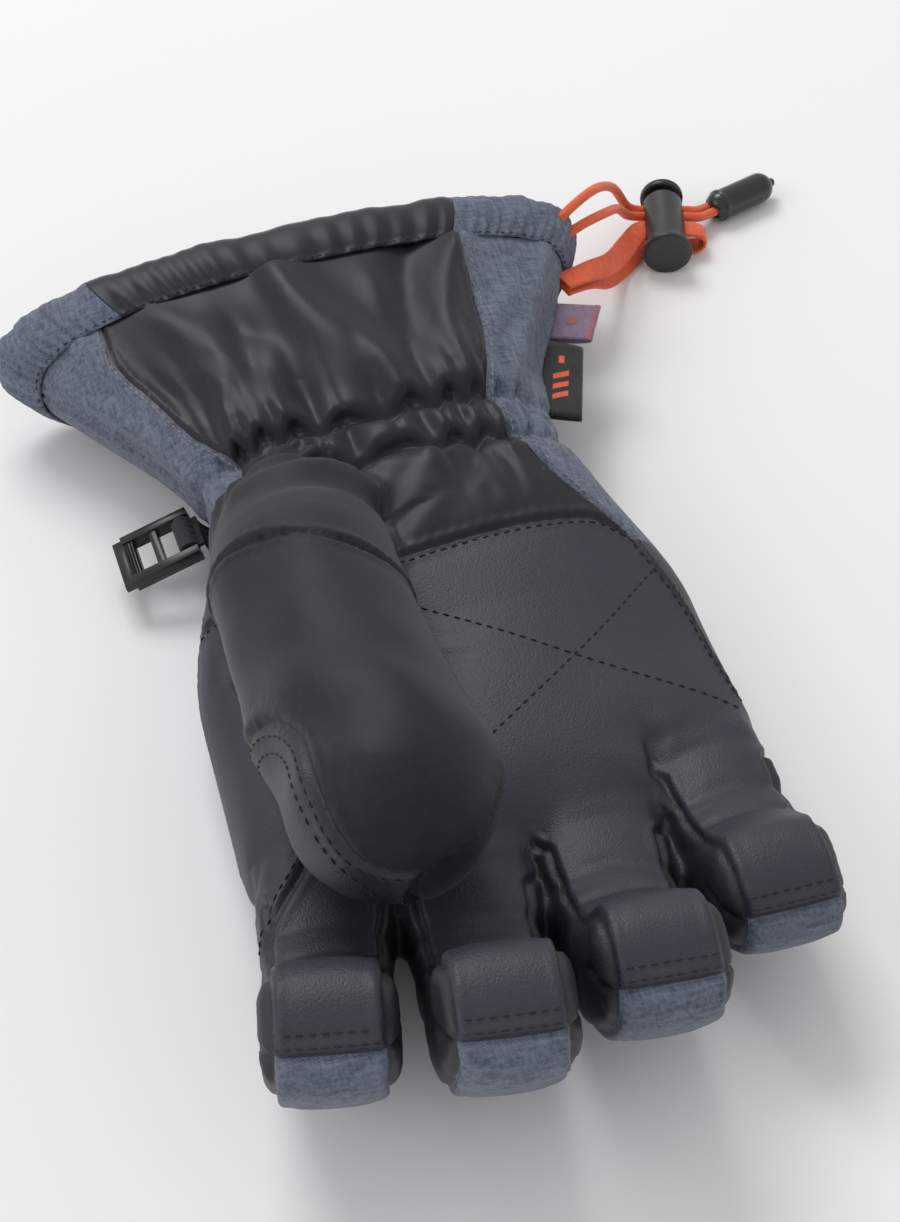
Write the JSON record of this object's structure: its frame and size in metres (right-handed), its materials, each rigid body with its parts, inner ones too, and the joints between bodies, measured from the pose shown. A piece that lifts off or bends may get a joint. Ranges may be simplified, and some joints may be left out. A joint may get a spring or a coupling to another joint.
{
  "type": "ski glove",
  "caption": "Right-hand insulated ski glove with leather palm, gauntlet cuff, orange drawcord with a cord lock and a wrist strap buckle, lying palm up.",
  "frame": {"origin": "middle of the flat patch on the back of the hand that the glove rests on", "axes": "+X to the little finger's side, +Y from the fingers to the gauntlet's rim, +Z from the back of the hand to the palm"},
  "size_m": [0.2412, 0.3025, 0.0795],
  "materials": {
    "leather": "pebbled matte",
    "nylon": "softshell, slight sheen",
    "melange": "woven melange",
    "elastic": "knitted elastic",
    "membrane": "thin film",
    "wadding": "fluffy",
    "fleece": "brushed",
    "webbing": "woven webbing",
    "cord": "braided elastic",
    "tape": "woven tape",
    "buckle_plastic": "satin",
    "grey_plastic": "satin",
    "spring_steel": "satin",
    "label_cloth": "satin weave",
    "tag_cloth": "satin weave"
  },
  "bodies": {
    "hand": {"palm_leather": "leather", "palm_heel_panel": "nylon", "back_of_hand_panel": "melange", "gauntlet_palm_panel": "nylon", "gauntlet_side_little": "melange", "gauntlet_side_thumb": "melange", "gauntlet_back_panel": "melange", "hem_casing_palm": "nylon", "hem_casing_back": "melange", "wrist_elastic": "elastic", "hand_membrane": "membrane", "hand_insulation": "wadding", "hand_lining": "fleece", "thumb_base_gusset": "nylon", "index_reinforcement": "leather", "wrist_strap": "webbing", "buckle_tab": "webbing", "hem_drawcord": "cord", "drawcord_strand_upper": "cord", "drawcord_strand_lower": "cord", "lock_barrel": "grey_plastic", "lock_spring": "spring_steel", "cord_end_cover": "buckle_plastic", "cord_end_base": "buckle_plastic", "pull_loop": "tape", "side_label": "label_cloth", "hem_tag": "tag_cloth"},
    "index_finger": {"index_leather": "leather", "index_back": "melange", "index_fourchettes": "nylon", "index_insulation": "wadding", "index_lining": "fleece"},
    "middle_finger": {"middle_leather": "leather", "middle_back": "melange", "middle_fourchettes": "nylon", "middle_insulation": "wadding", "middle_lining": "fleece"},
    "ring_finger": {"ring_leather": "leather", "ring_back": "melange", "ring_fourchettes": "nylon", "ring_insulation": "wadding", "ring_lining": "fleece"},
    "little_finger": {"little_leather": "leather", "little_back": "melange", "little_fourchettes": "nylon", "little_insulation": "wadding", "little_lining": "fleece"},
    "thumb": {"thumb_back": "nylon", "thumb_leather": "leather", "thumb_insulation": "wadding", "thumb_lining": "fleece"},
    "lock_button": {"lock_button": "buckle_plastic"},
    "strap_buckle": {"strap_buckle": "buckle_plastic"}
  },
  "joints": [
    {"name": "index_flex", "type": "hinge", "parent": "hand", "child": "index_finger", "pos_m": [-0.0456, -0.058, 0.0155], "axis": [-0.9816, 0.1908, 0], "range_deg": [-30, 10], "stiffness_Nm_per_rad": 0.3},
    {"name": "middle_flex", "type": "hinge", "parent": "hand", "child": "middle_finger", "pos_m": [-0.0152, -0.064, 0.0155], "axis": [-0.9903, 0.1392, 0], "range_deg": [-30, 10], "stiffness_Nm_per_rad": 0.3},
    {"name": "ring_flex", "type": "hinge", "parent": "hand", "child": "ring_finger", "pos_m": [0.0154, -0.06, 0.0155], "axis": [-0.9962, 0.0872, 0], "range_deg": [-30, 30], "stiffness_Nm_per_rad": 0.3},
    {"name": "little_flex", "type": "hinge", "parent": "hand", "child": "little_finger", "pos_m": [0.0452, -0.048, 0.0155], "axis": [-1, 0, 0], "range_deg": [-30, 30], "stiffness_Nm_per_rad": 0.3},
    {"name": "thumb_swing", "type": "hinge", "parent": "hand", "child": "thumb", "pos_m": [-0.033, 0.006, 0.048], "axis": [0, 0, 1], "range_deg": [-30, 6], "stiffness_Nm_per_rad": 0.2},
    {"name": "lock_press", "type": "slide", "parent": "hand", "child": "lock_button", "axis": [-0.2756, -0.9613, 0], "range_m": [0, 0.0025], "stiffness_N_per_m": 300, "deforming": ["lock_spring"]},
    {"name": "buckle_tilt", "type": "hinge", "parent": "hand", "child": "strap_buckle", "pos_m": [-0.0525, 0.063, 0.0145], "axis": [-0.0523, 0.9986, 0], "range_deg": [-12, 40]}
  ]
}
